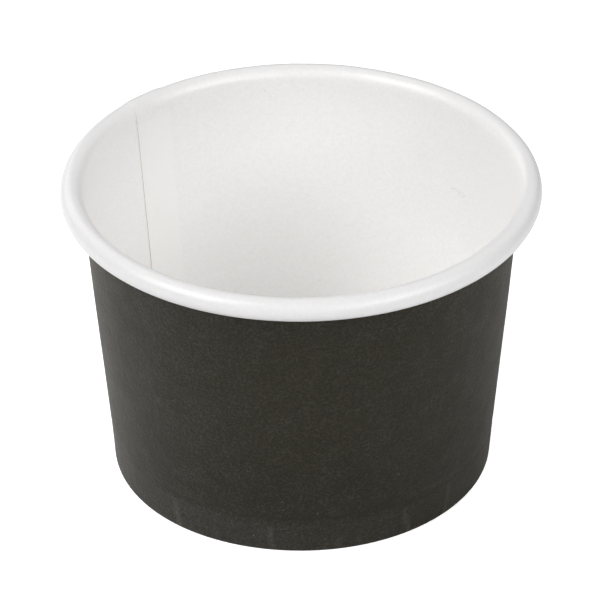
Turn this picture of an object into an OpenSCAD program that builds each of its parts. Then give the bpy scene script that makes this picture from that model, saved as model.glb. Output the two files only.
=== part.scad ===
// Paper tub: a side wall wrapped from one sheet of coated board, and a base held in its hem.
// The foot rests on the XY plane with its centre at the origin, and +Z is up.
// Lengths are in millimetres and angles in degrees.

/* [Tub] */
// Outer diameter across the rolled rim
rim_d = 75; // [66:0.5:110]
// Outer diameter of the foot
foot_d = 60.5; // [45:0.5:68]
// Height from the foot to the top of the rim
tub_h = 50; // [25:0.5:140]

/* [Side wall] */
// Thickness of the side wall's board
wall_t = 0.36; // [0.25:0.01:0.5]
// Width of the lap where the two ends of the sheet are sealed together
lap_w = 7; // [4:0.25:12]
// Width over which the outer end steps up onto the inner one
lap_step_w = 2; // [1:0.25:4]
// Direction of the inner cut edge, counted from +X towards +Y
seam_deg = 141; // [0:1:359]

/* [Rolled rim] */
// Outer diameter of the roll's section
roll_d = 3.6; // [2.8:0.1:6]
// Gap between the wall and the edge that is tucked up inside the roll
roll_gap = 0.12; // [0.08:0.01:0.3]
// Turn of the tucked edge after it has come back to the wall
tuck_deg = 110; // [30:5:150]

/* [Base] */
// Thickness of the base's board
base_t = 0.3; // [0.2:0.01:0.5]
// Depth of the recess from the foot up to the floor's underside
recess_h = 6.5; // [4:0.25:15]
// Radius of the corner where the floor turns down into the skirt
floor_r = 0.8; // [0.5:0.1:2]
// Height left free between the hem's cut edge and the floor's corner
hem_clear_h = 0.8; // [0.4:0.1:2]
// Sealing gap on both sides of the skirt and under it
seal_gap = 0.05; // [0.03:0.01:0.1]

/* [Hidden] */
$fn = 180;

// Colours of the two boards
PRINTED_BOARD = "#3a3833";
WHITE_BOARD = "#ebe8e3";

// Largest turn between two points on a round stretch of a section
arc_step = 9;
// Number of flats up the lap's slope
slope_flats = 3;

// The section is drawn with the radius as x and the height as y.
// Centre of the roll, and the wall's inner face where it leaves the fold at the foot
roll_r = roll_d / 2;
roll_c = [rim_d / 2 - roll_r, tub_h - roll_r];
wall_foot = [foot_d / 2 - wall_t, wall_t];

// The wall's inner face runs from the fold to touch the roll's circle: its lean from the vertical
span = roll_c - wall_foot;
lean = atan2(span.x, span.y) - asin(roll_r / norm(span));
up = [sin(lean), cos(lean)];
out = [cos(lean), -sin(lean)];

// The edge tucked inside the roll follows a smaller circle that meets the roll at its lowest point
tuck_r = roll_r - wall_t - roll_gap;
tuck_c = roll_c - [0, roll_r - tuck_r];
roll_start = 180 - lean;
roll_low = -90;
tuck_end = -180 - tuck_deg;

// The lap's outer end stops one gap short of the roll's underside
lap_reach = tuck_c.x - wall_r(tuck_c.y, 2 * wall_t);
lap_z = tuck_c.y - sqrt(max(tuck_r * tuck_r - lap_reach * lap_reach, 0)) - roll_gap;

// Turn that the lap takes up at mid height, and the length of its slope down to the middle of the board
lap_deg = lap_w / wall_r(tub_h / 2, wall_t) * 180 / PI;
step_tail = 1.5 * lap_step_w;

// Floor, its corner, and the skirt parallel to the wall
floor_z = recess_h + base_t;
corner_z = floor_z - floor_r;
corner_c = [wall_r(corner_z, -seal_gap - floor_r), corner_z];
skirt_z = wall_t + seal_gap;

// The hem stands beside the skirt, parallel to the wall
hem_foot = wall_foot - [(base_t + 2 * seal_gap) / cos(lean), 0];
hem_z = recess_h - max(floor_r - base_t, 0) - hem_clear_h;
hem_top = hem_foot + up * (hem_z - wall_t) / cos(lean);

// Radius at height z, at a depth into the board counted outward from the wall's inner face
function wall_r(z, depth) = wall_foot.x + (z - wall_foot.y) * tan(lean) + depth / cos(lean);

// Points round a circle from one direction to another, leaving out the first few steps
function arc(centre, r, from, to, skip = 0) =
    let (steps = ceil(abs(to - from) / arc_step))
    [for (i = [skip:steps])
        let (a = from + (to - from) * i / steps)
        centre + r * [cos(a), sin(a)]];

// The roll from the top of the wall to the tucked edge, at an inset from its outer face
function roll_arc(inset) = concat(
    arc(roll_c, roll_r - inset, roll_start, 90),
    arc(roll_c, roll_r - inset, 90, roll_low, skip = 1),
    arc(tuck_c, tuck_r - inset, roll_low, tuck_end, skip = 1));

function reversed(list) = [for (i = [len(list) - 1:-1:0]) list[i]];

// The sheet's white face: up the hem's far side, along the fold, up the inside and round the roll
white_face = concat(
    [hem_top, hem_foot, wall_foot],
    roll_arc(0));

// The sheet's printed face, one thickness away, round the outside of the fold
printed_face = concat(
    [hem_top - out * wall_t],
    arc(hem_foot, wall_t, roll_start, 270),
    arc(wall_foot, wall_t, 270, 360 - lean),
    roll_arc(wall_t));

// How far the wall curves back from its tangent at a distance along it
function sag(along) = along * along / 2 / wall_r(tub_h / 2, wall_t);

// Points of a slope beside the inner cut edge, from a depth at its tail to a depth at the edge
function slope(low, high) =
    [for (i = [0:slope_flats])
        let (u = i / slope_flats, along = step_tail * (1 - u))
        [low + (high - low) * u - sag(along), along]];

// Extrudes a [depth, along] section up the wall's inner face at the inner cut edge
module along_seam(low, high) {
    rotate([0, 0, seam_deg])
    translate([wall_r(low, 0), 0, low])
    rotate([0, lean, 0])
    linear_extrude(height = (high - low) / cos(lean)) children();
}

// Outer end of the sheet where it lies on the inner end
module lap() {
    rotate_extrude(start = seam_deg - lap_deg, angle = lap_deg) polygon([
        [wall_r(wall_t, wall_t / 2), wall_t],
        [wall_r(wall_t, 2 * wall_t), wall_t],
        [wall_r(lap_z, 2 * wall_t), lap_z],
        [wall_r(lap_z, wall_t / 2), lap_z]]);
}

// Slope by which the sheet rises from within the wall onto the inner end, stopping a hair under the lap
module lap_step() {
    along_seam(wall_t, lap_z) polygon(concat(
        slope(wall_t / 2, 2 * wall_t - seal_gap),
        [[wall_t / 2, -wall_t]],
        reversed(slope(wall_t / 2, wall_t / 2))));
}

// Hollow that the slope leaves inside, beside the inner cut edge, closed at both ends of the lap
module step_hollow() {
    along_seam(2 * wall_t, lap_z - wall_t) polygon(concat(
        slope(-wall_t / 2, wall_t),
        [[-wall_t / 2 - sag(step_tail), 0]]));
}

// One sheet: hem, fold, wall and roll in a single section, with the lap seam up one side
module side_wall() {
    color(PRINTED_BOARD)
    difference() {
        union() {
            rotate_extrude() polygon(concat(white_face, reversed(printed_face)));
            lap();
            lap_step();
        }
        step_hollow();
    }
}

// Floor with its skirt turned down between the wall and the hem
module base() {
    color(WHITE_BOARD)
    rotate_extrude() polygon(concat(
        [[0, recess_h], [0, floor_z]],
        arc(corner_c, floor_r, 90, -lean),
        [[wall_r(skirt_z, -seal_gap), skirt_z], [wall_r(skirt_z, -seal_gap - base_t), skirt_z]],
        arc(corner_c, max(floor_r - base_t, 0), -lean, 90)));
}

side_wall();
base();
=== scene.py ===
# %% [markdown]
# # A paper tub, piece by piece
# This lesson dresses a small paper tub for ice cream. A imported model already holds its two pieces of board
# at their real size. Here both are made again as thin sheets that carry the marks of the machine that
# formed them, and they get the finish of printed and coated board.
#
# The imported model is loaded first, as a fixed frame. Everything below is in metres in that frame.

# %% Load the frame
from math import asin, atan, atan2, cos, degrees, exp, hypot, pi, radians, sin, tan
from random import Random

import bmesh
import bpy
from mathutils import Matrix, Vector, noise


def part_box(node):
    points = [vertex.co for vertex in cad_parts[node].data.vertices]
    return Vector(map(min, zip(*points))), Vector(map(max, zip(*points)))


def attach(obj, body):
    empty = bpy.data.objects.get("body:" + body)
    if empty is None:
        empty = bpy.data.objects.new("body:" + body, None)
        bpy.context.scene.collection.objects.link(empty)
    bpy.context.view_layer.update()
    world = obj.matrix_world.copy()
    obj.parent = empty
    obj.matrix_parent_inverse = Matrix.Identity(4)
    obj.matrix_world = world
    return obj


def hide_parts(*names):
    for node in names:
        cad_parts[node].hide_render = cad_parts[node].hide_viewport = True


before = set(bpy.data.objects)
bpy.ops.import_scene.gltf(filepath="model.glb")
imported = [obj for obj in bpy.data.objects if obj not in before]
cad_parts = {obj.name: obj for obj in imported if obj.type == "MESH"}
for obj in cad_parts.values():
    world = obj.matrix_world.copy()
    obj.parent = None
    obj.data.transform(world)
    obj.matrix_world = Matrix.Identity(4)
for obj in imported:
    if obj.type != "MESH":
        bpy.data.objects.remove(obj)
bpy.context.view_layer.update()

print("nodes:", sorted(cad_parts))

# %% [markdown]
# ## Sizes
# The rim, the height and the floor are read from the frame, so the pieces stay true to it. The thicknesses
# of the boards, the foot and the roll are written down. From these few values comes the wall's lean: the
# straight wall leaves the fold at the foot and has to touch the roll's circle, so its angle is worked out,
# not guessed.

# %% Sizes of the tub
MM = 0.001
wall_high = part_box("side_wall")[1]
base_low, base_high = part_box("base")
rim_r = wall_high.x
tub_h = wall_high.z
foot_r = 30.25 * MM
wall_t = 0.36 * MM
base_t = 0.3 * MM
roll_r = 1.8 * MM

roll_centre = Vector((rim_r - roll_r, 0, tub_h - roll_r))
wall_foot = Vector((foot_r - wall_t, 0, wall_t))
span = roll_centre - wall_foot
lean = atan2(span.x, span.z) - asin(roll_r / span.length)
out_wall = Vector((cos(lean), 0, -sin(lean)))


def wall_radius(z):
    """Radius of the wall's inner face at a height."""
    return wall_foot.x + (z - wall_foot.z) * tan(lean)


print(f"rim {2 * rim_r / MM:.1f} mm, height {tub_h / MM:.1f} mm, wall leans {degrees(lean):.2f} degrees")

# %% [markdown]
# ## Camera
# The photograph was taken with a long lens, from the front and about a third of the way up to overhead. The
# lens, the distance and the height were found by fitting the tub's outlines. The tub's middle sits a little
# below the picture's centre there. A lens shift could put it there, but turning the camera by a fraction of
# a degree does the same and leaves nothing to undo when the camera moves.

# %% Camera
PICTURE_PX = 600
LENS_PX = 3919.7
MIDDLE_PX = (301.56, 311.65)
SENSOR_MM = 36
view_distance = 0.6222
view_height = radians(32.585)
view_roll = radians(-0.351)

to_camera = Vector((0, -cos(view_height), sin(view_height)))
tilt_up = atan((MIDDLE_PX[1] - PICTURE_PX / 2) / LENS_PX)
turn_left = atan((MIDDLE_PX[0] - PICTURE_PX / 2) / LENS_PX)
facing = Matrix.Rotation(pi / 2 - view_height, 3, "X") @ Matrix.Rotation(view_roll, 3, "Z")
facing = facing @ Matrix.Rotation(tilt_up, 3, "X") @ Matrix.Rotation(turn_left, 3, "Y")

camera = bpy.data.objects.new("camera", bpy.data.cameras.new("camera"))
camera.data.sensor_width = SENSOR_MM
camera.data.lens = LENS_PX / PICTURE_PX * SENSOR_MM
camera.location = Vector((0, 0, tub_h / 2)) + view_distance * to_camera
camera.rotation_euler = facing.to_euler()
bpy.context.scene.collection.objects.link(camera)
bpy.context.scene.camera = camera
print(f"lens {camera.data.lens:.0f} mm at {view_distance:.3f} m")

# %% [markdown]
# ## The sheet's section
# The side wall is one fan-shaped sheet of board, white inside and printed outside. Cut through it, and the
# section is a single line: down the hem, round the pressed fold at the foot, up the leaning wall, and round
# the rolled rim until the cut edge is tucked away inside the roll.
#
# That line could be typed in as points. Walking it is closer to what the forming machine does: straight
# stretches are extruded from the tip of the line, and bends are spun from it round their own centres.

# %% Walk a line of board
def walk_straight(bm, tip, goal, steps):
    """Extrudes the tip of a line to a goal in equal steps, and returns the new tip."""
    stride = (goal - tip.co) / steps
    for _ in range(steps):
        tip = bmesh.ops.extrude_vert_indiv(bm, verts=[tip])["verts"][0]
        bmesh.ops.translate(bm, verts=[tip], vec=stride)
    return tip


def only_verts(items):
    """The vertices among the items that an operator returned."""
    return [item for item in items if isinstance(item, bmesh.types.BMVert)]


def walk_bend(bm, tip, centre, turn, steps):
    """Spins the tip of a line round a centre, clockwise from the front if turn is positive."""
    made = bmesh.ops.spin(
        bm, geom=[tip], cent=centre, axis=(0, 1, 0), angle=turn, steps=steps, use_duplicate=False)
    return only_verts(made["geom_last"])[0]


# %% Draw the sheet's section
seal_gap = 0.05 * MM
hem_gap = (base_t + 2 * seal_gap) / cos(lean)
hem_z = 5.2 * MM
fold_r = 0.1 * MM
roll_gap = 0.12 * MM
tuck_r = roll_r - wall_t - roll_gap
tuck_turn = radians(200)
foot_band_z = 8 * MM
neck_z = 45 * MM

fold_z = wall_t + fold_r
fold_drop = Vector((0, 0, -fold_r))
hem_bend = Vector((wall_radius(fold_z) - hem_gap + fold_r / cos(lean), 0, fold_z))
wall_bend = Vector((wall_radius(fold_z) - fold_r / cos(lean), 0, fold_z))
tuck_centre = roll_centre - Vector((0, 0, roll_r - tuck_r))

sheet = bmesh.new()
for name in ("turn", "lapped", "stepped", "rolled", "pinch", "doubled"):
    sheet.verts.layers.float.new(name)

tip = sheet.verts.new((wall_radius(hem_z) - hem_gap, 0, hem_z))
tip = walk_straight(sheet, tip, hem_bend - out_wall * fold_r, 6)
tip = walk_bend(sheet, tip, hem_bend, -pi / 2 - lean, 4)
tip = walk_straight(sheet, tip, wall_bend + fold_drop, 1)
tip = walk_bend(sheet, tip, wall_bend, lean - pi / 2, 4)
tip = walk_straight(sheet, tip, Vector((wall_radius(foot_band_z), 0, foot_band_z)), 20)
tip = walk_straight(sheet, tip, Vector((wall_radius(neck_z), 0, neck_z)), 18)
tip = walk_straight(sheet, tip, roll_centre - out_wall * roll_r, 5)
tip = walk_bend(sheet, tip, roll_centre, 3 * pi / 2 - lean, 28)
tip = walk_bend(sheet, tip, tuck_centre, tuck_turn, 8)
print(f"the section has {len(sheet.edges)} stretches and ends at height {tip.co.z / MM:.2f} mm")

# %% [markdown]
# ## Wrapping the sheet
# On the machine the sheet is wrapped round a cone until its two ends overlap, and the overlap is sealed
# with heat. The inner end's cut edge shows inside the tub as a fine upright line, and the outer end's cut
# edge runs up the back.
#
# A full spin of the section would give a wall without that seam. So the section is spun one column at a
# time, and each column notes how far round the sheet it is. After the full turn the wall goes on for the
# width of the lap, and it climbs to lie on top of the first columns. Heat and pressure squeeze the inner
# end's cut edge thin, so the step inside is finer than the board, and it runs up onto the shoulder of the
# roll before it is lost.

# %% Mark the lap, the step and the roll on the section
lap_low = 0.7 * MM
lap_high = 46.9 * MM
on_line = 0.01 * MM
step_fade = (radians(145), radians(215))
step_end = radians(230)

layers = sheet.verts.layers.float
turn, lapped, stepped = layers["turn"], layers["lapped"], layers["stepped"]
rolled, pinch, doubled = layers["rolled"], layers["pinch"], layers["doubled"]


def ease(value):
    """A smooth rise from 0 to 1 as the value goes from 0 to 1."""
    value = min(max(value, 0), 1)
    return value * value * (3 - 2 * value)


for vert in sheet.verts:
    on_wall = abs(vert.co.x - wall_radius(vert.co.z)) < on_line
    vert[lapped] = float(on_wall and lap_low < vert.co.z < lap_high)
    vert[stepped] = vert[lapped]
    vert[rolled] = float(vert.co.z > lap_high and not on_wall)
    spoke = vert.co - roll_centre
    around_roll = atan2(spoke.z, spoke.x) % (2 * pi)
    if vert.co.z > lap_high and spoke.length > roll_r - on_line and around_roll < step_end:
        vert[stepped] = ease((around_roll - step_fade[0]) / (step_fade[1] - step_fade[0]))
print(f"{sum(vert[lapped] > 0 for vert in sheet.verts)} of {len(sheet.verts)} points belong to the lap")

# %% Wrap the sheet round the axis
columns = 480
lap_columns = 16
seam = radians(140.6)
lap_w = 7 * MM
lap_turn = lap_w / wall_radius(tub_h / 2)
step_turn = radians(0.15)
bmesh.ops.rotate(sheet, verts=sheet.verts[:], matrix=Matrix.Rotation(seam, 3, "Z"))


def wrap(strip, steps, angle, start):
    """Spins a strip of the sheet on round the axis, column by column, and returns the last column."""
    for step in range(1, steps + 1):
        made = bmesh.ops.spin(
            sheet, geom=strip, axis=(0, 0, 1), angle=-angle / steps, steps=1, use_duplicate=False)
        strip = made["geom_last"]
        for vert in only_verts(strip):
            vert[turn] = start + angle * step / steps
    return strip


last = wrap(sheet.verts[:] + sheet.edges[:], columns - 1, 2 * pi - step_turn, 0)
last = wrap(last, 1, step_turn, 2 * pi - step_turn)
lap_strip = [item for item in last if isinstance(item, bmesh.types.BMVert) and item[lapped]]
for item in last:
    if isinstance(item, bmesh.types.BMEdge) and all(vert[lapped] for vert in item.verts):
        lap_strip.append(item)
wrap(lap_strip, lap_columns, lap_turn, 2 * pi)
print(f"the sheet has {len(sheet.faces)} faces, and its lap covers {degrees(lap_turn):.1f} degrees")

# %% Climb onto the inner end, then close the hem and the roll
climb_turn = radians(12)
press_t = 0.1 * MM
press_turn = radians(4)
lap_gap = 0.01 * MM
lap_soft = radians(1)
merge_distance = 0.005 * MM


def outward(point):
    """Direction away from the axis, square to the leaning wall."""
    around = atan2(point.y, point.x)
    return Vector((cos(around) * cos(lean), sin(around) * cos(lean), -sin(lean)))


def into_board(point):
    """Direction from the white face into the board, on the wall and on the shoulder of the roll."""
    if point.z < roll_centre.z + roll_r * sin(lean):
        return outward(point)
    around = atan2(point.y, point.x)
    centre = Vector((cos(around) * roll_centre.x, sin(around) * roll_centre.x, roll_centre.z))
    return (centre - point).normalized()


def at_seam(vert, reach):
    """Whether a vertex of the full turn lies within a reach of the seam, counted along the turn."""
    return not reach < vert[turn] < 2 * pi - reach


for vert in sheet.verts:
    past_seam = vert[turn] - 2 * pi
    climb = (press_t + lap_gap) * ease((past_seam + climb_turn) / climb_turn)
    climb += (wall_t - press_t) * ease(past_seam / press_turn)
    if vert[lapped] or past_seam < -step_turn / 2:
        vert.co += into_board(vert.co) * vert[stepped] * climb
    vert[doubled] = vert[lapped] * ease((lap_turn - vert[turn]) / lap_soft)
ends = [vert for vert in sheet.verts if not vert[lapped] and at_seam(vert, step_turn / 2)]
bmesh.ops.remove_doubles(sheet, verts=ends, dist=merge_distance)
bmesh.ops.recalc_face_normals(sheet, faces=sheet.faces[:])
top = max(sheet.faces, key=lambda face: face.calc_center_median().z)
if top.normal.z < 0:
    bmesh.ops.reverse_faces(sheet, faces=sheet.faces[:])
print(f"{len(ends)} end vertices closed, {sum(edge.is_boundary for edge in sheet.edges)} cut edges left")

# %% [markdown]
# ## Marks of the forming tools
# Board isn't sheet metal: it cockles a little, and each tool leaves its mark. The roll swells and thins
# along the rim, and it is thicker where it rolls up two layers of the lap. At the foot the tools press hem,
# skirt and wall together: a shallow line runs round at the floor's height, the foot flares a little towards
# the front left, the hem carries upright ribs, and small pinches crease the board where it has too little
# room.
#
# Most of these marks are smaller than a tenth of a millimetre, but they are what catches the light. They
# are pushed into the thin sheet before it gets its thickness, so both of its faces follow them.

# %% Rim: swelling of the roll
rim_wave = 0.05 * MM
rim_waves = 3
rim_wave_start = 1
roll_swell = 0.03
lap_swell = 0.07
swells_round = 4
shoulder = (radians(162), radians(102))

for vert in sheet.verts:
    around = atan2(vert.co.y, vert.co.x)
    radial = Vector((cos(around), sin(around), 0))
    centre = radial * roll_centre.x + Vector((0, 0, roll_centre.z))
    wave = noise.noise(radial * swells_round)
    if vert[rolled]:
        on_lap = ease(vert[turn] / lap_soft) * ease((lap_turn - vert[turn]) / lap_soft)
        spoke = vert.co - centre
        around_roll = atan2(spoke.z, spoke.dot(radial))
        vert[rolled] = ease((around_roll - shoulder[0]) / (shoulder[1] - shoulder[0]))
        vert.co += spoke * vert[rolled] * (roll_swell * wave + lap_swell * on_lap)
    sway = rim_wave * sin(rim_waves * around + rim_wave_start)
    vert.co += radial * sway * ease((vert.co.z - neck_z) / (tub_h - neck_z))
print(f"roll swells by up to {roll_swell * roll_r / MM:.2f} mm")

# %% Foot: flare, pressed line, hem ribs and cockle
flare_out = 0.03 * MM
flare_more = 0.2 * MM
flare_at = radians(222)
flare_w = radians(32)
flare_z = 5.2 * MM
groove_z = 6.8 * MM
groove_w = 0.7 * MM
groove_depth = 0.08 * MM
grooves_round = 3
ribs = columns // 4
rib_depth = 0.07 * MM
cockle_size = 11 * MM
cockle_depth = 0.04 * MM
cockle_end = 5 * MM

for vert in sheet.verts:
    around = atan2(vert.co.y, vert.co.x)
    radius = hypot(vert.co.x, vert.co.y)
    on_hem = vert.co.z < hem_z + fold_z and radius < wall_radius(vert.co.z) - hem_gap / 2
    away = outward(vert.co)
    rise = ease((vert.co.z - fold_z) / MM)
    if on_hem:
        vert.co -= away * rise * rib_depth * (0.5 + 0.5 * cos(ribs * around))
    elif radius < wall_radius(vert.co.z) + 2 * wall_t:
        press = 0.5 + noise.noise(Vector((cos(around), sin(around), 0)) * grooves_round)
        vert.co -= away * groove_depth * press * exp(-((vert.co.z - groove_z) / groove_w) ** 2)
        across = min(max((radius - wall_radius(vert.co.z) + hem_gap) / hem_gap, 0), 1)
        aside = (around - flare_at + pi) % (2 * pi) - pi
        flare = flare_out + flare_more * exp(-(aside / flare_w) ** 2)
        vert.co += away * across * flare * ease((flare_z - vert.co.z) / flare_z)
        calm = ease((tub_h - vert.co.z) / cockle_end)
        vert.co += away * rise * calm * cockle_depth * noise.noise(vert.co / cockle_size)
print(f"{ribs} ribs on the hem")

# %% Foot: pinches
pinch_w = 0.42 * MM
pinch_depth = 0.1 * MM
pinch_reach = 3 * pinch_w
pinch_fade = 0.6
# Direction at the foot and at the top, height and strength, for those that face the front
pinches = [
    (-129.1, -130.7, 6.4 * MM, 1.0),
    (-115.6, -117.3, 4.2 * MM, 0.3),
    (-99.1, -99.8, 6.6 * MM, 0.6),
    (-79.8, -78.8, 3.6 * MM, 0.35),
    (-73.3, -73.1, 4.4 * MM, 0.3),
    (-56.8, -59.8, 6.0 * MM, 0.6),
    (-42.8, -41.2, 8.2 * MM, 0.5),
]
# Those at the back come by chance, one to each stretch of 16 degrees
back_directions = range(-20, 220, 16)
chance = Random(5)
for direction in back_directions:
    foot_at = direction + chance.uniform(-5, 5)
    top_at = foot_at + chance.uniform(-2, 2)
    pinches.append((foot_at, top_at, chance.uniform(3.5, 6.5) * MM, chance.uniform(0.25, 0.8)))

for vert in sheet.verts:
    if vert.co.z > foot_band_z or hypot(vert.co.x, vert.co.y) < wall_radius(vert.co.z) - hem_gap / 2:
        continue
    around = degrees(atan2(vert.co.y, vert.co.x))
    for foot_at, top_at, height, strength in pinches:
        crease_at = foot_at + (top_at - foot_at) * vert.co.z / height
        off = radians((around - crease_at + 180) % 360 - 180) * foot_r
        if abs(off) < pinch_reach:
            fade = ease((height - vert.co.z) / (pinch_fade * height))
            vert[pinch] += strength * fade * exp(-(off / pinch_w) ** 2)
for vert in sheet.verts:
    vert.co += outward(vert.co) * pinch_depth * vert[pinch] * ease((vert.co.z - fold_z) / MM)
print(f"{len(pinches)} pinches at the foot")

# %% [markdown]
# ## Thickness
# So far the sheet is the board's white face alone. The solidify operator gives it a second face one
# thickness away and closes the cut edges in between. The three kinds of face that come out are the three
# finishes of the board: the white coating, the print, and the raw edge where the knife went through.

# %% Give the sheet its thickness
WHITE, PRINT, RAW = 0, 1, 2


def thicken(bm, thickness):
    """Gives a sheet its thickness, and numbers its first faces, new faces and cut edges as finishes."""
    first = set(bm.faces)
    made = bmesh.ops.solidify(bm, geom=bm.faces[:], thickness=thickness)
    second = {item for item in made["geom"] if isinstance(item, bmesh.types.BMFace)}
    for face in bm.faces:
        face.smooth = True
        if face in first:
            face.material_index = WHITE
        elif face in second:
            face.material_index = PRINT
        else:
            face.material_index = RAW
    return [sum(face.material_index == index for face in bm.faces) for index in (WHITE, PRINT, RAW)]


print("faces of each finish:", thicken(sheet, wall_t))

# %% Squeeze the inner end's cut edge
backs = {vert for face in sheet.faces if face.material_index == PRINT for vert in face.verts}
pressed = [vert for vert in backs if vert[lapped] and vert[turn] < press_turn]
for vert in pressed:
    squeeze = (wall_t - press_t) * (1 - ease(vert[turn] / press_turn))
    vert.co -= outward(vert.co) * squeeze
for face in sheet.faces:
    on_step = all(vert[stepped] > 0 and not vert[lapped] for vert in face.verts)
    if on_step and all(at_seam(vert, 1.5 * step_turn) for vert in face.verts):
        face.material_index = RAW
print(f"{len(pressed)} vertices squeezed to {press_t / MM} mm")

# %% [markdown]
# ## The base
# The base is a disc of thinner board. A tool draws its edge down into a skirt, which is sealed between the
# wall and the hem. A flat disc has too much edge for a skirt, so the board gathers in fine folds round the
# corner. Its section is walked in the same way, from the middle outwards, and this one is spun round in one
# go.

# %% Make the base
floor_z = base_high.z
skirt_z = base_low.z
floor_r = 0.8 * MM
corner_z = floor_z - floor_r
corner = Vector((wall_radius(corner_z) - (seal_gap + floor_r) / cos(lean), 0, corner_z))
base_columns = 360
gather_depth = 0.03 * MM
gathers_round = 26
floor_bow = 0.06 * MM
floor_bow_size = 16 * MM
bow_edge = 8 * MM

disc = bmesh.new()
tip = disc.verts.new((0, 0, floor_z))
tip = walk_straight(disc, tip, Vector((corner.x, 0, floor_z)), 20)
tip = walk_bend(disc, tip, corner, pi / 2 + lean, 8)
walk_straight(disc, tip, Vector((wall_radius(skirt_z) - seal_gap / cos(lean), 0, skirt_z)), 8)
bmesh.ops.spin(
    disc, geom=disc.verts[:] + disc.edges[:], axis=(0, 0, 1), angle=2 * pi, steps=base_columns,
    use_merge=True, use_duplicate=False)
bmesh.ops.remove_doubles(disc, verts=disc.verts[:], dist=merge_distance)
bmesh.ops.recalc_face_normals(disc, faces=disc.faces[:])
for vert in disc.verts:
    radius = hypot(vert.co.x, vert.co.y)
    radial = Vector((vert.co.x, vert.co.y, 0)).normalized()
    gathered = ease((radius - corner.x) / floor_r)
    vert.co -= radial * gathered * gather_depth * (0.5 + noise.noise(radial * gathers_round))
    slack = ease((corner.x - radius) / bow_edge)
    vert.co.z -= slack * floor_bow * (0.5 + noise.noise(vert.co / floor_bow_size))
print("faces of each finish:", thicken(disc, base_t))

# %% [markdown]
# ## Shared effects
# Every surface here is the same stuff, wood fibres pressed into board, so the finishes share two effects.
# The first is the grain of the board: fine, worm-like fibres and, ten times larger, a soft cloudiness that
# a light shows as cockle. The second is stray flecks, which are specks of pulp or dust that the print or
# the coating did not cover.
#
# Each is a node group with its own inputs, so a finish sets how fine or how frequent they are.

# %% Helpers for shader nodes
def add_node(tree, kind, sockets=None, **settings):
    """Adds a node, sets its properties, and gives its inputs values or links by name or number."""
    made = tree.nodes.new(kind)
    for key, value in settings.items():
        setattr(made, key, value)
    for key, value in (sockets or {}).items():
        if isinstance(value, bpy.types.NodeSocket):
            tree.links.new(value, made.inputs[key])
        else:
            made.inputs[key].default_value = value
    return made


def remap(tree, value, low, high, to_low=0.0, to_high=1.0):
    """Stretches a value's range onto another and returns the output socket."""
    sockets = {"Value": value, "From Min": low, "From Max": high, "To Min": to_low, "To Max": to_high}
    return add_node(tree, "ShaderNodeMapRange", sockets).outputs["Result"]


def new_group(name, inputs, outputs):
    """Starts a node group with number inputs and outputs, and returns it with its two end nodes."""
    group = bpy.data.node_groups.new(name, "ShaderNodeTree")
    for socket, value in inputs.items():
        made = group.interface.new_socket(socket, in_out="INPUT", socket_type="NodeSocketFloat")
        made.default_value = value
    for socket in outputs:
        group.interface.new_socket(socket, in_out="OUTPUT", socket_type="NodeSocketFloat")
    return group, group.nodes.new("NodeGroupInput"), group.nodes.new("NodeGroupOutput")


# %% Board grain
noise_low = 0.3
noise_high = 0.7
grain, given, result = new_group(
    "board_grain", {"Fibre Scale": 2600, "Cloud Scale": 260}, ["Fibre", "Cloud"])
place = add_node(grain, "ShaderNodeTexCoord").outputs["Object"]
fibre = add_node(grain, "ShaderNodeTexNoise", {
    "Vector": place, "Scale": given.outputs["Fibre Scale"],
    "Detail": 2, "Roughness": 0.7, "Distortion": 0.3})
cloud = add_node(grain, "ShaderNodeTexNoise", {
    "Vector": place, "Scale": given.outputs["Cloud Scale"],
    "Detail": 5, "Roughness": 0.66, "Distortion": 0.5})
grain.links.new(remap(grain, fibre.outputs[0], noise_low, noise_high), result.inputs["Fibre"])
grain.links.new(remap(grain, cloud.outputs[0], noise_low, noise_high), result.inputs["Cloud"])
print("group", grain.name, "with", len(grain.nodes), "nodes")

# %% Stray flecks
def calculate(tree, operation, first, second):
    """Combines two values and returns the output socket."""
    return add_node(tree, "ShaderNodeMath", {0: first, 1: second}, operation=operation).outputs[0]


flecks, given, result = new_group(
    "stray_flecks", {"Scale": 330, "Share": 0.3, "Size": 0.1}, ["Mask"])
place = add_node(flecks, "ShaderNodeTexCoord").outputs["Object"]
cells = add_node(flecks, "ShaderNodeTexVoronoi", {"Vector": place, "Scale": given.outputs["Scale"]})
lot = add_node(flecks, "ShaderNodeSeparateColor", {0: cells.outputs["Color"]})
chosen = calculate(flecks, "LESS_THAN", lot.outputs[0], given.outputs["Share"])
reach = calculate(flecks, "MULTIPLY", lot.outputs[1], given.outputs["Size"])
spot = calculate(flecks, "LESS_THAN", cells.outputs["Distance"], reach)
flecks.links.new(calculate(flecks, "MULTIPLY", chosen, spot), result.inputs["Mask"])
print("group", flecks.name, "with", len(flecks.nodes), "nodes")

# %% [markdown]
# ## Finishes
# The outside is printed in a warm charcoal that lies thin and matt on the fibres, so it is a little uneven.
# It has a painted sheen of lighter grey on one side of the foot and painted shade along the pressed line and
# over the low wall, and it breaks to a lighter tone where the board is pinched. The inside and the rim carry
# a thin satin film over white board. The film is drawn thin where the board rolls outward, so the roll is a
# little shinier than the wall, and it is painted a little greyer than the wall as painted shade. Raw edges
# and the base's underside are bare board.

# %% Start a finish
def new_finish(name, specular):
    """Starts a material, and returns it with its node tree and its Principled shader."""
    finish = bpy.data.materials.new(name)
    finish.use_nodes = True
    shader = finish.node_tree.nodes["Principled BSDF"]
    shader.inputs["Specular IOR Level"].default_value = specular
    return finish, finish.node_tree, shader


def place_group(tree, group, **values):
    """Places a node group in a material with its own values, and returns the outputs."""
    made = add_node(tree, "ShaderNodeGroup", node_tree=group)
    for key, value in values.items():
        made.inputs[key.replace("_", " ")].default_value = value
    return made.outputs


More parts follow.
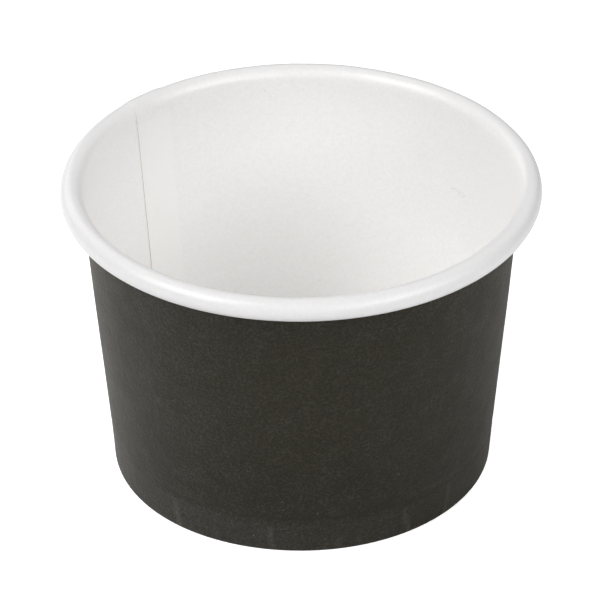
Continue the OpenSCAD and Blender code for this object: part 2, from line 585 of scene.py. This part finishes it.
def mix_colours(tree, factor, first, second):
    """Mixes two colours and returns the output socket."""
    made = add_node(tree, "ShaderNodeMix", {0: factor, 6: first, 7: second}, data_type="RGBA")
    return made.outputs[2]


def relief(tree, shader, steps):
    """Feeds heights into the shader's normal, each with its own depth in metres."""
    normal = None
    for height, depth in steps:
        bump = add_node(tree, "ShaderNodeBump", {"Height": height, "Strength": 1.0, "Distance": depth})
        if normal:
            tree.links.new(normal, bump.inputs["Normal"])
        normal = bump.outputs["Normal"]
    tree.links.new(normal, shader.inputs["Normal"])


# %% Printed outside: ink
def band(tree, value, rise, fall, strength):
    """Mask that rises between two values and falls again between two more, up to a strength."""
    falling = remap(tree, value, *fall, 0, strength)
    return calculate(tree, "MULTIPLY", remap(tree, value, *rise), falling)


dense_ink = (0.0156, 0.0134, 0.0074, 1)
open_ink = (0.0428, 0.0381, 0.0256, 1)
clouded_ink = (0.022, 0.0185, 0.0105, 1)
ragged_by = 0.6 * MM

printed, tree, shader = new_finish("printed_charcoal", 0.135)
board = place_group(tree, grain, Fibre_Scale=2500, Cloud_Scale=240)
place = add_node(tree, "ShaderNodeTexCoord").outputs["Object"]
axes = add_node(tree, "ShaderNodeSeparateXYZ", {0: place}).outputs
ragged = calculate(tree, "ADD", axes["Z"], remap(tree, board["Cloud"], 0, 1, -ragged_by, ragged_by))
# Painted shade: the ink is made darker along the pressed line and over the low wall, and both are taken off
# the thin ink of the fibres.
pressed_line_shade = band(tree, ragged, (6 * MM, 6.8 * MM), (8 * MM, 7 * MM), 0.12)
low_wall_shade = band(tree, ragged, (5 * MM, 8 * MM), (24 * MM, 10 * MM), 0.14)
thin_ink = calculate(tree, "POWER", board["Fibre"], 2)
ink_cover_and_shade = calculate(tree, "SUBTRACT", thin_ink, calculate(tree, "ADD", pressed_line_shade, low_wall_shade))
colour = mix_colours(tree, ink_cover_and_shade, dense_ink, open_ink)
colour = mix_colours(tree, remap(tree, board["Cloud"], 0, 1, 0, 0.35), colour, clouded_ink)
print("the ink takes", len(tree.nodes), "nodes")

# %% Printed outside: wear and flecks
foot_sheen_tone = (0.055, 0.055, 0.051, 1)
creased_ink = (0.12, 0.115, 0.1, 1)
pale_fleck = (0.17, 0.16, 0.14, 1)

# Painted sheen: the foot is made a lighter grey towards its left side, where it would reflect the lit paper,
# and the grain varies it.
sheen_side = remap(tree, axes["X"], 20 * MM, -8 * MM, 0, 0.28)
foot_sheen = calculate(tree, "MULTIPLY", remap(tree, ragged, 6.6 * MM, 4.2 * MM), sheen_side)
foot_sheen = calculate(tree, "MULTIPLY", foot_sheen, remap(tree, board["Fibre"], 0, 1, 0.4, 1.6))
colour = mix_colours(tree, foot_sheen, colour, foot_sheen_tone)
creased = add_node(tree, "ShaderNodeAttribute", attribute_name="pinch").outputs["Fac"]
worn = calculate(tree, "MULTIPLY", creased, remap(tree, board["Fibre"], 0.2, 0.9, 0.2, 0.6))
colour = mix_colours(tree, worn, colour, creased_ink)
near_foot = remap(tree, axes["Z"], 25 * MM, 3 * MM, 0.15, 1)
specks = place_group(tree, flecks, Scale=620, Share=0.45, Size=0.08)["Mask"]
colour = mix_colours(tree, calculate(tree, "MULTIPLY", specks, near_foot), colour, pale_fleck)
tree.links.new(colour, shader.inputs["Base Color"])
print("with the wear and the flecks it takes", len(tree.nodes), "nodes")

# %% Printed outside: sheen and relief
print_cloud_depth = 0.07 * MM
print_fibre_depth = 0.05 * MM

glossy = calculate(tree, "MULTIPLY", thin_ink, remap(tree, board["Cloud"], 0.2, 0.8, 0, 0.3))
tree.links.new(glossy, shader.inputs["Coat Weight"])
shader.inputs["Coat Roughness"].default_value = 0.4
tree.links.new(remap(tree, board["Fibre"], 0, 1, 0.42, 0.58), shader.inputs["Roughness"])
relief(tree, shader, [(board["Cloud"], print_cloud_depth), (board["Fibre"], print_fibre_depth)])
print("finish", printed.name, "with", len(tree.nodes), "nodes")

# %% [markdown]
# ## Marks under the film
# No coated board is quite clean. A short curled hair and a few specks lie under the film of this tub. A
# painted picture could hold them, but each is only a distance from a line or a point, so it can be worked
# out at any size: the hair is an oval and an arch, and a speck is a small ball round a point of the wall.

# %% Marks under the film: hair
hair_turn = radians(38.6)
hair_z = 34.4 * MM
# In millimetres from the hair's middle: into the tub, along the wall and up it
hair_room = 2
loop_at = (-0.65, 0.12)
loop_half = (0.7, 0.357)
arch_at = (0.95, 0.45)
arch_half = 0.9
arch_line = 0.06
# Width of the loop's line as a share of its half sizes, and bend of the arch for each millimetre
loop_line = 0.11
arch_bend = 0.4


def within(tree, value, middle, reach):
    """Mask of where a value is no further than a reach from a middle."""
    return add_node(tree, "ShaderNodeMath", {0: value, 1: middle, 2: reach}, operation="COMPARE").outputs[0]


def stray_hair(tree, place):
    """Mask of a short hair with a loop at one end, on one side of the wall."""
    spot = (-wall_radius(hair_z) / MM, 0, -hair_z / MM)
    zoom = (1 / MM, 1 / MM, 1 / MM)
    local = add_node(tree, "ShaderNodeMapping", {
        "Vector": place, "Location": spot, "Rotation": (0, 0, -hair_turn), "Scale": zoom}).outputs[0]
    axes = add_node(tree, "ShaderNodeSeparateXYZ", {0: local}).outputs
    here = calculate(tree, "GREATER_THAN", axes["X"], -hair_room)
    oval = add_node(tree, "ShaderNodeMapping", {
        "Vector": local,
        "Location": (0, -loop_at[0] / loop_half[0], -loop_at[1] / loop_half[1]),
        "Scale": (0, 1 / loop_half[0], 1 / loop_half[1])}).outputs[0]
    round_oval = add_node(tree, "ShaderNodeVectorMath", {0: oval}, operation="LENGTH").outputs["Value"]
    loop = within(tree, round_oval, 1, loop_line)
    along = calculate(tree, "SUBTRACT", axes["Y"], arch_at[0])
    drop = calculate(tree, "MULTIPLY", calculate(tree, "MULTIPLY", along, along), -arch_bend)
    arch = within(tree, axes["Z"], calculate(tree, "ADD", drop, arch_at[1]), arch_line)
    arch = calculate(tree, "MULTIPLY", arch, within(tree, along, 0, arch_half))
    return calculate(tree, "MULTIPLY", here, calculate(tree, "MAXIMUM", loop, arch))


print(f"hair at {hair_z / MM:.1f} mm height")

# %% Marks under the film: specks
# Direction, height and radius of each
film_specks = [(84.2, 11.65 * MM, 0.09 * MM), (99.8, 46.5 * MM, 0.08 * MM), (163, 30 * MM, 0.07 * MM)]


def film_speck(tree, place, direction, height, size):
    """Mask of one round speck on the wall's inner face."""
    radius = wall_radius(height)
    spot = (radius * cos(radians(direction)), radius * sin(radians(direction)), height)
    away = add_node(tree, "ShaderNodeVectorMath", {0: place, 1: spot}, operation="DISTANCE").outputs["Value"]
    return remap(tree, away, size, size / 2)


print(len(film_specks), "specks under the film")

# %% White coating: film
clear_film = (0.968, 0.96, 0.951, 1)
milky_film = (0.985, 0.979, 0.972, 1)
fibre_tone = (0.919, 0.907, 0.895, 1)
backed_tone = (0.99, 0.977, 0.963, 1)
roll_shade_tone = (0.83, 0.821, 0.823, 1)
film_rough = 0.33
stretched_rough = 0.29
stretched_depth = 0.016 * MM

coating, tree, shader = new_finish("white_coating", 0.5)
board = place_group(tree, grain, Fibre_Scale=2000, Cloud_Scale=420)
colour = mix_colours(tree, board["Cloud"], clear_film, milky_film)
colour = mix_colours(tree, board["Fibre"], colour, fibre_tone)
backed = add_node(tree, "ShaderNodeAttribute", attribute_name="doubled").outputs["Fac"]
colour = mix_colours(tree, calculate(tree, "MULTIPLY", backed, 0.6), colour, backed_tone)
on_roll = add_node(tree, "ShaderNodeAttribute", attribute_name="rolled").outputs["Fac"]
# Painted shade: the roll is made greyer than the wall, so it doesn't come out brighter than the inside.
roll_shade = calculate(tree, "MULTIPLY", on_roll, remap(tree, board["Fibre"], 0, 1, 0.7, 0.95))
colour = mix_colours(tree, roll_shade, colour, roll_shade_tone)
tree.links.new(remap(tree, on_roll, 0, 1, film_rough, stretched_rough), shader.inputs["Roughness"])
relief(tree, shader, [(calculate(tree, "MULTIPLY", board["Cloud"], on_roll), stretched_depth)])
print("the film takes", len(tree.nodes), "nodes")

# %% White coating: marks
hair_tone = (0.45, 0.43, 0.41, 1)
speck_tone = (0.4, 0.36, 0.33, 1)
fleck_tone = (0.45, 0.42, 0.38, 1)
hair_strength = 0.34
fleck_strength = 0.4

place = add_node(tree, "ShaderNodeTexCoord").outputs["Object"]
hair = calculate(tree, "MULTIPLY", stray_hair(tree, place), hair_strength)
colour = mix_colours(tree, hair, colour, hair_tone)
for speck in film_specks:
    colour = mix_colours(tree, film_speck(tree, place, *speck), colour, speck_tone)
specks = place_group(tree, flecks, Scale=120, Share=0.15, Size=0.05)["Mask"]
colour = mix_colours(tree, calculate(tree, "MULTIPLY", specks, fleck_strength), colour, fleck_tone)
tree.links.new(colour, shader.inputs["Base Color"])
print("finish", coating.name, "with", len(tree.nodes), "nodes")

# %% Bare board
bare_cloud_depth = 0.04 * MM
bare_fibre_depth = 0.03 * MM


def bare_board(name, dark, light, roughness):
    """Uncoated board, with the fibres open to the air."""
    finish, tree, shader = new_finish(name, 0.3)
    board = place_group(tree, grain, Fibre_Scale=2200, Cloud_Scale=320)
    colour = mix_colours(tree, board["Fibre"], dark, light)
    colour = mix_colours(tree, remap(tree, board["Cloud"], 0, 1, 0, 0.4), colour, dark)
    tree.links.new(colour, shader.inputs["Base Color"])
    tree.links.new(remap(tree, board["Fibre"], 0, 1, roughness, roughness + 0.15), shader.inputs["Roughness"])
    relief(tree, shader, [(board["Cloud"], bare_cloud_depth), (board["Fibre"], bare_fibre_depth)])
    print("finish", name, "with", len(tree.nodes), "nodes")
    return finish


cut_edge = bare_board("cut_edge", (0.7, 0.65, 0.58, 1), (0.84, 0.8, 0.74, 1), 0.8)
underside = bare_board("base_underside", (0.7, 0.675, 0.63, 1), (0.8, 0.78, 0.74, 1), 0.7)

# %% [markdown]
# ## Pieces into the frame
# Each finished mesh becomes an object at the origin, with its place in its mesh. It rides on the tub's one
# body and stands in for its imported solid. Edges that turn sharply stay crisp.

# %% Put the pieces in the frame
crisp_angle = radians(50)


def make_piece(bm, name, node, finishes):
    """Turns a finished bmesh into a piece that stands for a node."""
    mesh = bpy.data.meshes.new(name)
    bm.to_mesh(mesh)
    bm.free()
    mesh.set_sharp_from_angle(angle=crisp_angle)
    for finish in finishes:
        mesh.materials.append(finish)
    piece = bpy.data.objects.new(name, mesh)
    bpy.context.scene.collection.objects.link(piece)
    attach(piece, "root")
    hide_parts(node)
    mesh.calc_loop_triangles()
    print(name, "has", len(mesh.loop_triangles), "triangles")


make_piece(sheet, "side_wall_sheet", "side_wall", [coating, printed, cut_edge])
make_piece(disc, "base_disc", "base", [coating, underside, cut_edge])

# %% [markdown]
# ## Floor and light
# The photograph is lit like a catalogue picture. Two soft lights stand on the left and two on the right,
# three weaker ones behind lift the far side of the rim, and the paper that the tub stands on is so well lit
# that it comes out white.
#
# Lights as strong as that would wash out the rim from below. So the paper only looks brighter: a Light Path
# node adds its glow for the eye, and a share of it for reflections, but not for the light that it throws
# back on the tub. The share falls towards the right and close to the foot, as the sheen on the dark wall
# does: a painted shadow of the tub on the paper, seen only in reflections. The room is treated alike: it is
# dark as a lamp and pale in reflections.
#
# The plain view transform keeps white board white.

# %% Floor: paper
floor_size = 6
paper, tree, shader = new_finish("floor_paper", 0.2)
shader.inputs["Roughness"].default_value = 0.8
shader.inputs["Base Color"].default_value = (0.93, 0.93, 0.93, 1)

floor = bmesh.new()
bmesh.ops.create_grid(floor, x_segments=8, y_segments=8, size=floor_size / 2)
floor_mesh = bpy.data.meshes.new("floor")
floor.to_mesh(floor_mesh)
floor.free()
floor_mesh.materials.append(paper)
floor_piece = bpy.data.objects.new("floor", floor_mesh)
bpy.context.scene.collection.objects.link(floor_piece)
print("floor", floor_size, "m wide")

# %% Floor: glow
floor_glow = 0.72
left_share = 0.75
right_share = 0.22
foot_share = 0.35
shade_start = 30 * MM
shade_end = 55 * MM

shader.inputs["Emission Color"].default_value = (1, 1, 1, 1)
path = add_node(tree, "ShaderNodeLightPath").outputs
place = add_node(tree, "ShaderNodeTexCoord").outputs["Object"]
axes = add_node(tree, "ShaderNodeSeparateXYZ", {0: place}).outputs
# Painted shadow: the glow that reflections get falls towards the right and close to the foot.
across = remap(tree, axes["X"], -60 * MM, 60 * MM, left_share, right_share)
foot_shade = remap(tree, axes["X"], -20 * MM, 15 * MM, 1, foot_share)
apart = add_node(tree, "ShaderNodeVectorMath", {0: place}, operation="LENGTH").outputs["Value"]
shaded = remap(tree, apart, shade_start, shade_end, foot_shade, 1)
share = calculate(tree, "MULTIPLY", across, shaded)
mirrored = calculate(tree, "MULTIPLY", path["Is Glossy Ray"], share)
seen = calculate(tree, "ADD", path["Is Camera Ray"], mirrored)
tree.links.new(calculate(tree, "MULTIPLY", seen, floor_glow), shader.inputs["Emission Strength"])
print("its glow takes", len(tree.nodes), "nodes")

# %% Lights
light_distance = 0.9
light_size = 0.55


def soft_light(name, around, height, watts):
    """A square light that looks at the tub. Degrees around are counted from the camera towards the right."""
    light = bpy.data.objects.new(name, bpy.data.lights.new(name, "AREA"))
    light.data.size = light_size
    light.data.energy = watts
    aim = Matrix.Rotation(radians(around), 3, "Z") @ Matrix.Rotation(radians(90 - height), 3, "X")
    light.location = Vector((0, 0, tub_h / 2)) + aim @ Vector((0, 0, light_distance))
    light.rotation_euler = aim.to_euler()
    bpy.context.scene.collection.objects.link(light)
    print(f"{name}: {watts} W")


soft_light("left_light", -60, 42, 3.45)
soft_light("high_left_light", -70, 57, 2.35)
soft_light("right_light", 60, 35, 2.8)
soft_light("front_right_light", 30, 30, 1.9)
soft_light("back_left_light", -145, 24, 1.6)
soft_light("back_right_light", 150, 30, 0.4)
soft_light("high_back_light", 180, 55, 0.6)

# %% Room
room_light = 0.01
room_mirrored = 0.35

room = bpy.data.worlds.new("white_room")
room.use_nodes = True
tree = room.node_tree
backdrop = tree.nodes["Background"].inputs
backdrop["Color"].default_value = (1, 1, 1, 1)
path = add_node(tree, "ShaderNodeLightPath").outputs
tree.links.new(remap(tree, path["Is Glossy Ray"], 0, 1, room_light, room_mirrored), backdrop["Strength"])
bpy.context.scene.world = room
bpy.context.scene.view_settings.view_transform = "Standard"
print("room:", room_light, "as a lamp and", room_mirrored, "in reflections")
